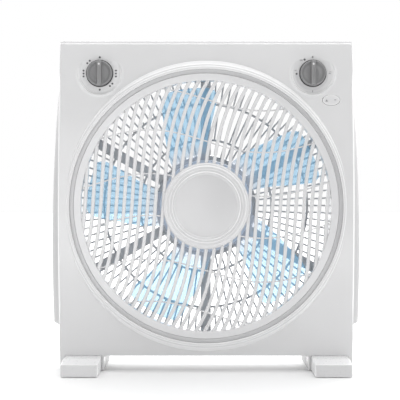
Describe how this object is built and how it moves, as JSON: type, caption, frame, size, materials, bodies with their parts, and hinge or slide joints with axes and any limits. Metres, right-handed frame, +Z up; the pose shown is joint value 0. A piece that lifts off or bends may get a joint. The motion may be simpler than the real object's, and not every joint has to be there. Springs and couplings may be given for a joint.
{
  "type": "box fan",
  "caption": "Portable box fan with a square two-piece housing, dished rear guard, a slow-turning louvre disc in front of the blades, speed and timer knobs and bar feet.",
  "frame": {"origin": "on the floor under the middle of the housing, level with the undersides of the foot pads; it is also the middle of the feet front to back", "axes": "+X to the right as seen from in front of the fan, +Y from the front to the back, +Z up"},
  "size_m": [0.3808, 0.161, 0.398],
  "materials": {
    "shell": "satin",
    "grille": "satin",
    "blade": "clear tint",
    "knob": "satin",
    "black_plastic": "matt",
    "nylon": "satin",
    "rubber": "matt",
    "steel": "satin",
    "zinc": "zinc plated",
    "iron": "lamination stack",
    "copper": "varnished winding",
    "bronze": "sintered"
  },
  "bodies": {
    "housing": {"front_shell": "shell", "rear_shell": "shell", "rear_grille": "grille", "foot_left": "shell", "foot_right": "shell", "foot_pad_left_front": "rubber", "foot_pad_left_rear": "rubber", "foot_pad_right_front": "rubber", "foot_pad_right_rear": "rubber", "shell_screw_1": "zinc", "shell_screw_2": "zinc", "shell_screw_3": "zinc", "shell_screw_4": "zinc", "shell_screw_5": "zinc", "shell_screw_6": "zinc", "foot_screw_1": "zinc", "foot_screw_2": "zinc", "foot_screw_3": "zinc", "foot_screw_4": "zinc", "motor_bracket_front": "steel", "motor_bracket_rear": "steel", "stator_core": "iron", "stator_winding_front": "copper", "stator_winding_rear": "copper", "bearing_front": "bronze", "bearing_rear": "bronze", "motor_cover": "grille", "motor_screw_1": "zinc", "motor_screw_2": "zinc", "motor_screw_3": "zinc", "motor_screw_4": "zinc", "run_capacitor": "black_plastic", "roller_pin_1": "steel", "roller_pin_2": "steel", "roller_pin_3": "steel", "louvre_motor": "steel", "louvre_motor_screw_1": "zinc", "louvre_motor_screw_2": "zinc", "speed_switch": "black_plastic", "timer_unit": "nylon", "louvre_switch": "black_plastic", "cord_gland": "black_plastic"},
    "rotor": {"motor_shaft": "steel", "rotor_core": "iron", "fan_blade": "blade", "blade_nut": "blade"},
    "louvre": {"louvre_grille": "grille", "louvre_cap": "grille"},
    "louvre_drive": {"drive_roller": "rubber", "louvre_motor_shaft": "steel"},
    "roller_top_right": {"guide_roller_1": "nylon"},
    "roller_top_left": {"guide_roller_2": "nylon"},
    "roller_bottom_left": {"guide_roller_3": "nylon"},
    "speed_control": {"speed_knob": "knob", "speed_shaft": "nylon"},
    "timer_control": {"timer_knob": "knob", "timer_shaft": "nylon"},
    "rocker": {"louvre_rocker": "shell"}
  },
  "joints": [
    {"name": "rotor_spin", "type": "hinge", "parent": "housing", "child": "rotor", "pos_m": [0, 0, 0.199], "axis": [0, -1, 0], "continuous": true},
    {"name": "louvre_spin", "type": "hinge", "parent": "housing", "child": "louvre", "pos_m": [0, 0, 0.199], "axis": [0, -1, 0], "continuous": true},
    {"name": "drive_roller_spin", "type": "hinge", "parent": "housing", "child": "louvre_drive", "pos_m": [0.11476, -0.0365, 0.08424], "axis": [0, -1, 0], "continuous": true},
    {"name": "guide_roller_1_spin", "type": "hinge", "parent": "housing", "child": "roller_top_right", "pos_m": [0.11476, -0.0365, 0.31376], "axis": [0, -1, 0], "continuous": true},
    {"name": "guide_roller_2_spin", "type": "hinge", "parent": "housing", "child": "roller_top_left", "pos_m": [-0.11476, -0.0365, 0.31376], "axis": [0, -1, 0], "continuous": true},
    {"name": "guide_roller_3_spin", "type": "hinge", "parent": "housing", "child": "roller_bottom_left", "pos_m": [-0.11476, -0.0365, 0.08424], "axis": [0, -1, 0], "continuous": true},
    {"name": "speed_turn", "type": "hinge", "parent": "housing", "child": "speed_control", "pos_m": [-0.1278, -0.0376, 0.3579], "axis": [0, -1, 0], "continuous": true},
    {"name": "timer_turn", "type": "hinge", "parent": "housing", "child": "timer_control", "pos_m": [0.1278, -0.0376, 0.3579], "axis": [0, -1, 0], "range_deg": [-270, 35]},
    {"name": "rocker_tilt", "type": "hinge", "parent": "housing", "child": "rocker", "pos_m": [0.1494, -0.03737, 0.32504], "axis": [0, 0.089, 0.996], "range_deg": [-5, 5]}
  ],
  "couplings": [
    {"joint": "drive_roller_spin", "follows": "louvre_spin", "ratio": -22.143},
    {"joint": "guide_roller_1_spin", "follows": "louvre_spin", "ratio": -22.143},
    {"joint": "guide_roller_2_spin", "follows": "louvre_spin", "ratio": -22.143},
    {"joint": "guide_roller_3_spin", "follows": "louvre_spin", "ratio": -22.143}
  ]
}
